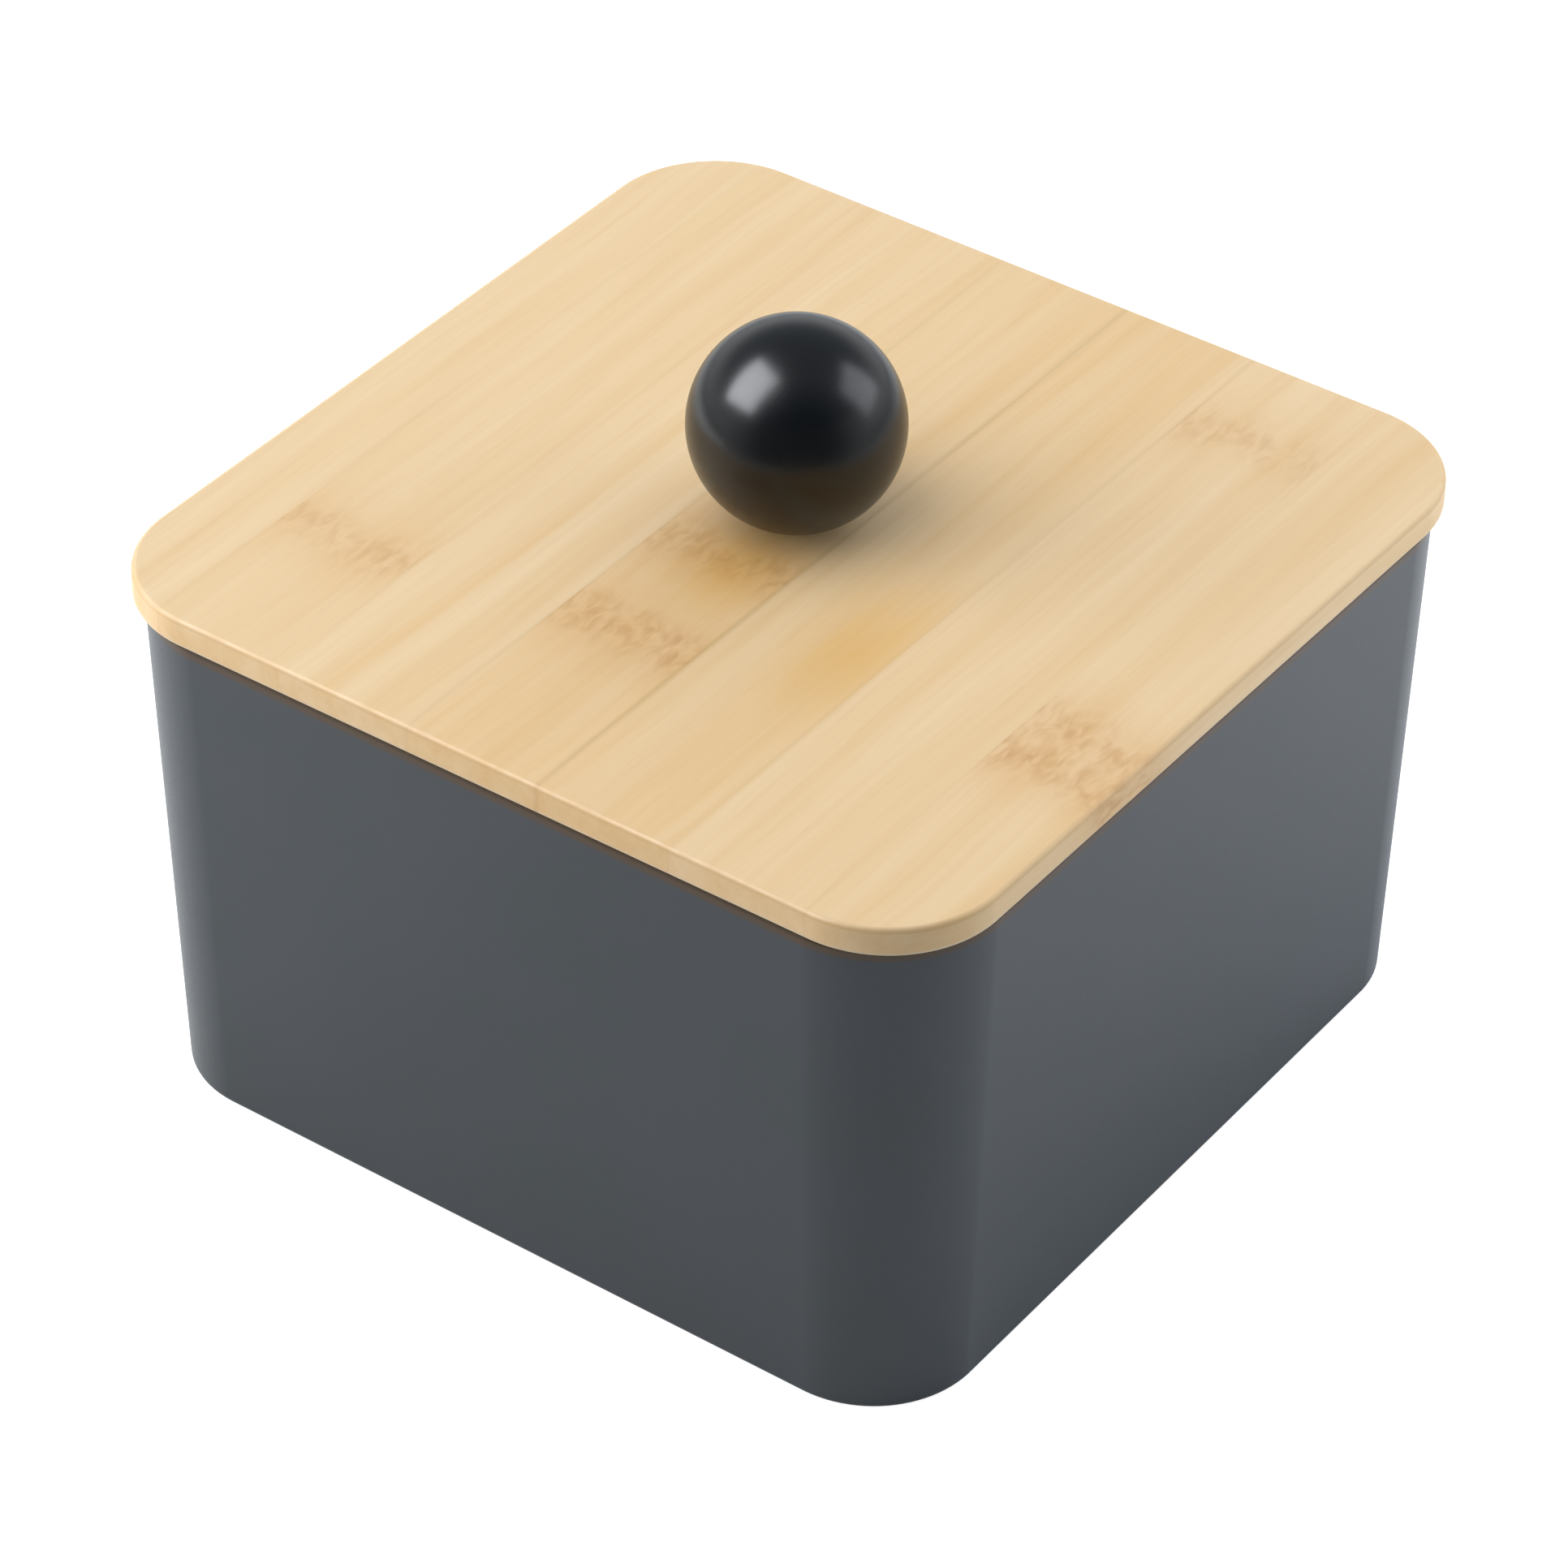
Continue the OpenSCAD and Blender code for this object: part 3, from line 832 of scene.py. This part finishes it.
washer = {"hole": 4.3 * mm, "rounding": 0.2 * mm, "burr": 0.06 * mm}


def makeWasher(material):
    # stamped: the upper edges are drawn in round, the lower ones are crisp
    low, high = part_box("screw_washer")
    outer, hole = (high.x - low.x) / 2, washer["hole"] / 2
    rounding, burr = washer["rounding"], washer["burr"]
    bm = bmesh.new()
    rings = [(0, hole + burr, low.z), (0, outer - burr, low.z), (0, outer, low.z + burr)]
    rings += arc(0, outer - rounding, high.z - rounding, rounding, 0, 90)
    rings += arc(0, hole + rounding, high.z - rounding, rounding, 90, 180)
    rings += [(0, hole, low.z + burr)]
    loft(bm, rings, closed=True)
    return addPiece(bm, "screwWasher", material, "lid", "screw_washer")


makeBox(mouldedPlastic(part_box("box_shell")[1].z))
print("box made")
makeStrips(lid, lidStrips, "lid_strip", "lidStrip", acrossY=False)
makeStrips(plate, plateStrips, "plate_strip", "plateStrip", acrossY=True)
print("lid and locating plate made")
makeBall(polishedPhenolic())
makeInsert(turnedBrass())
zinc = zincPlate()
makeScrew(zinc)
makeWasher(zinc)
print("knob made")


# Floor, screen, lights and camera

studio = {
    "floorSize": 6.0,
    "floorDrop": 0.1 * mm,
    "floorGrey": "#d0d0d0",
    "seenGrey": "#a8a8a8",
    "seenLift": 0.9,  # what the camera sees on top of the lit floor, so that it is white
    "mirrorGrey": "#f0f0f0",
    "screenWay": (0.58, -0.815),
    "screenRadius": 0.5,
    "screenHeight": 0.34,
    "screenReach": 75,  # degrees to each side
    "screenCore": 25,  # degrees to each side that are at their darkest
    "screenDark": "#656d76",
    "screenPale": "#dfe3e8",
    "domeDark": "#48596b",
    "domePale": "#a2abb5",
    "domeWay": (0.575, -0.8, 0.17),  # where the dome is darkest
    "domeTurn": (0.25, 0.9),  # how near that way the dome begins and ends to darken
    "domeStrength": 1.05,
    "horizonPale": "#f4f7fa",
    "horizonBand": (0.12, 0.48),
}
lights = [
    {"name": "keySoftbox", "way": (-0.46, -0.53, 0.71), "distance": 0.8, "size": (1.1, 1.2), "roll": 0,
     "radiance": 1.35, "colour": "#fffcf6", "mirrored": False},
    {"name": "topSoftbox", "way": (0, 0.05, 1), "distance": 1, "size": (1.2, 1.2), "roll": 0,
     "radiance": 0.42, "colour": "#ffffff", "mirrored": False},
    {"name": "leftSoftbox", "way": (-0.85, -0.5, 0.1), "distance": 0.6, "size": (0.5, 0.24), "roll": 0,
     "radiance": 5.4, "colour": "#fbfcff", "mirrored": False},
    {"name": "rightSoftbox", "way": (0.25, 0.25, 0.045), "distance": 0.355, "size": (0.2, 0.16), "roll": 0,
     "radiance": 3.1, "colour": "#f6f9ff", "mirrored": False},
    {"name": "sideSoftbox", "way": (0.9, 0.4, 0.08), "distance": 0.6, "size": (0.5, 0.14), "roll": 0,
     "radiance": 3.1, "colour": "#f4f8ff", "mirrored": False},
    {"name": "backSoftbox", "way": (-0.1, 0.9, 0.45), "distance": 0.8, "size": (0.6, 0.4), "roll": 0,
     "radiance": 2.2, "colour": "#f4f8ff", "mirrored": False},
    {"name": "keyGlint", "way": (-0.53, -0.439, 0.725), "distance": 0.8, "size": (0.54, 0.61), "roll": 22,
     "radiance": 11.4, "colour": "#f8faff", "mirrored": True},
    {"name": "sideGlint", "way": (0.6, 0.59, 0.52), "distance": 0.8, "size": (0.48, 0.5), "roll": 0,
     "radiance": 3.3, "colour": "#f4f8ff", "mirrored": True},
]
photoView = {
    "azimuth": 35.6265,
    "elevation": 38.0011,
    "distance": 886.0 * mm,
    "aimHeight": 38.93 * mm,
    "sideways": -1.22 * mm,
    "roll": 0.5866,
    "focalPixels": 7799.68,
    "framePixels": 1932,
    "sensor": 36,
}


def addStage(bm, name, material):
    mesh = bpy.data.meshes.new(name)
    bm.to_mesh(mesh)
    bm.free()
    mesh.materials.append(material)
    piece = bpy.data.objects.new(name, mesh)
    bpy.context.scene.collection.objects.link(piece)
    return piece


def whitePaper():
    # white to the camera with a faint shadow; mirrors see it white where it is lit
    material, tree = newMaterial("whitePaper")
    path = addNode(tree, "LightPath", {})
    seen = path.outputs["Is Camera Ray"]
    mirrored = addNode(tree, "Math", {
        0: path.outputs["Is Glossy Ray"], 1: path.outputs["Is Transmission Ray"]},
        operation="ADD", use_clamp=True)
    colour = addNode(tree, "Mix", {
        "Factor": mirrored, "A": linear(studio["floorGrey"]), "B": linear(studio["mirrorGrey"])},
        data_type="RGBA")
    colour = addNode(tree, "Mix", {
        "Factor": seen, "A": colour, "B": linear(studio["seenGrey"])}, data_type="RGBA")
    lit = addNode(tree, "BsdfDiffuse", {"Color": colour})
    lift = addNode(tree, "Math", {0: seen, 1: studio["seenLift"]}, operation="MULTIPLY")
    glow = addNode(tree, "Emission", {"Strength": lift})
    paper = addNode(tree, "AddShader", {0: lit, 1: glow})
    addNode(tree, "OutputMaterial", {"Surface": paper})
    return material


def makeFloor():
    bm = bmesh.new()
    place = Matrix.Translation((0, 0, -studio["floorDrop"]))
    bmesh.ops.create_grid(bm, size=studio["floorSize"] / 2, matrix=place)
    addStage(bm, "floor", whitePaper())


def gradedPaper():
    # dark in the middle and pale at both ends
    material, tree = newMaterial("gradedPaper")
    place = addNode(tree, "TexCoord", {}).outputs["Object"]
    flat = addNode(tree, "VectorMath", {0: place, 1: (1, 1, 0)}, operation="MULTIPLY")
    way = addNode(tree, "VectorMath", {0: flat}, operation="NORMALIZE")
    middle = addNode(tree, "VectorMath", {0: way, 1: (*studio["screenWay"], 0)}, operation="DOT_PRODUCT")
    share = addNode(tree, "MapRange", {
        "Value": middle.outputs["Value"], "From Min": math.cos(math.radians(studio["screenReach"])),
        "From Max": math.cos(math.radians(studio["screenCore"]))}, interpolation_type="SMOOTHSTEP")
    colour = addNode(tree, "Mix", {
        "Factor": share, "A": linear(studio["screenPale"]), "B": linear(studio["screenDark"])},
        data_type="RGBA")
    glow = addNode(tree, "Emission", {"Color": colour})
    addNode(tree, "OutputMaterial", {"Surface": glow})
    return material


def makeScreen():
    # a curved screen on the camera's side, which darkens what faces it and stops no light
    reach = math.radians(studio["screenReach"])
    way = Vector((*studio["screenWay"], 0)) * studio["screenRadius"]
    start = way.copy()
    start.rotate(Matrix.Rotation(-reach, 3, "Z"))
    bm = bmesh.new()
    foot = bm.verts.new(start)
    head = bm.verts.new(start + Vector((0, 0, studio["screenHeight"])))
    edge = bm.edges.new((foot, head))
    bmesh.ops.spin(bm, geom=[foot, head, edge], axis=(0, 0, 1), angle=2 * reach, steps=ringPoints)
    screen = addStage(bm, "darkScreen", gradedPaper())
    screen.visible_camera = False
    screen.visible_shadow = False


def makeLights():
    aim = Vector((0, 0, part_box("knob_ball")[0].z))
    for light in lights:
        lamp = bpy.data.lights.new(light["name"], "AREA")
        lamp.shape = "RECTANGLE"
        lamp.size, lamp.size_y = light["size"]
        lamp.energy = light["radiance"] * math.pi * lamp.size * lamp.size_y
        lamp.color = linear(light["colour"])[:3]
        softbox = bpy.data.objects.new(light["name"], lamp)
        way = Vector(light["way"]).normalized()
        turn = Matrix.Rotation(math.radians(light["roll"]), 3, "Z")
        softbox.location = aim + way * light["distance"]
        softbox.rotation_euler = (way.to_track_quat("Z", "Y").to_matrix() @ turn).to_euler()
        softbox.visible_camera = False
        softbox.visible_glossy = light["mirrored"]
        softbox.visible_diffuse = not light["mirrored"]
        bpy.context.scene.collection.objects.link(softbox)


def makeWorld():
    # a grey dome, dark on the camera's side, with a white horizon
    world = bpy.data.worlds.new("studioDome")
    bpy.context.scene.world = world
    world.use_nodes = True
    tree = world.node_tree
    tree.nodes.clear()
    way = addNode(tree, "TexCoord", {}).outputs["Generated"]
    darkness = addNode(tree, "VectorMath", {0: way, 1: studio["domeWay"]}, operation="DOT_PRODUCT")
    turnStart, turnEnd = studio["domeTurn"]
    share = addNode(tree, "MapRange", {
        "Value": darkness.outputs["Value"], "From Min": turnStart, "From Max": turnEnd},
        interpolation_type="SMOOTHSTEP")
    dome = addNode(tree, "Mix", {
        "Factor": share, "A": linear(studio["domePale"]), "B": linear(studio["domeDark"])}, data_type="RGBA")
    height = addNode(tree, "SeparateXYZ", {0: way}).outputs["Z"]
    bandStart, bandEnd = studio["horizonBand"]
    horizon = addNode(tree, "MapRange", {
        "Value": height, "From Min": bandStart, "From Max": bandEnd, "To Min": 1, "To Max": 0},
        interpolation_type="SMOOTHSTEP")
    colour = addNode(tree, "Mix", {
        "Factor": horizon, "A": dome, "B": linear(studio["horizonPale"])}, data_type="RGBA")
    sky = addNode(tree, "Background", {"Color": colour, "Strength": studio["domeStrength"]})
    addNode(tree, "OutputWorld", {"Surface": sky})


def makeCamera():
    view = photoView
    turn, rise = math.radians(view["azimuth"]), math.radians(view["elevation"])
    back = Vector((math.sin(turn) * math.cos(rise), -math.cos(turn) * math.cos(rise), math.sin(rise)))
    rolled = Matrix.Rotation(math.radians(view["roll"]), 3, back)
    right = rolled @ (-back).cross(Vector((0, 0, 1))).normalized()
    up = back.cross(right)
    data = bpy.data.cameras.new("photoCamera")
    data.sensor_width = view["sensor"]
    data.lens = view["focalPixels"] / view["framePixels"] * view["sensor"]
    camera = bpy.data.objects.new("photoCamera", data)
    place = Vector((0, 0, view["aimHeight"])) + back * view["distance"] + right * view["sideways"]
    camera.matrix_world = Matrix.Translation(place) @ Matrix((right, up, back)).transposed().to_4x4()
    bpy.context.scene.collection.objects.link(camera)
    bpy.context.scene.camera = camera


makeFloor()
makeScreen()
makeLights()
makeWorld()
makeCamera()
bpy.context.scene.view_settings.view_transform = "Standard"
print("studio made")
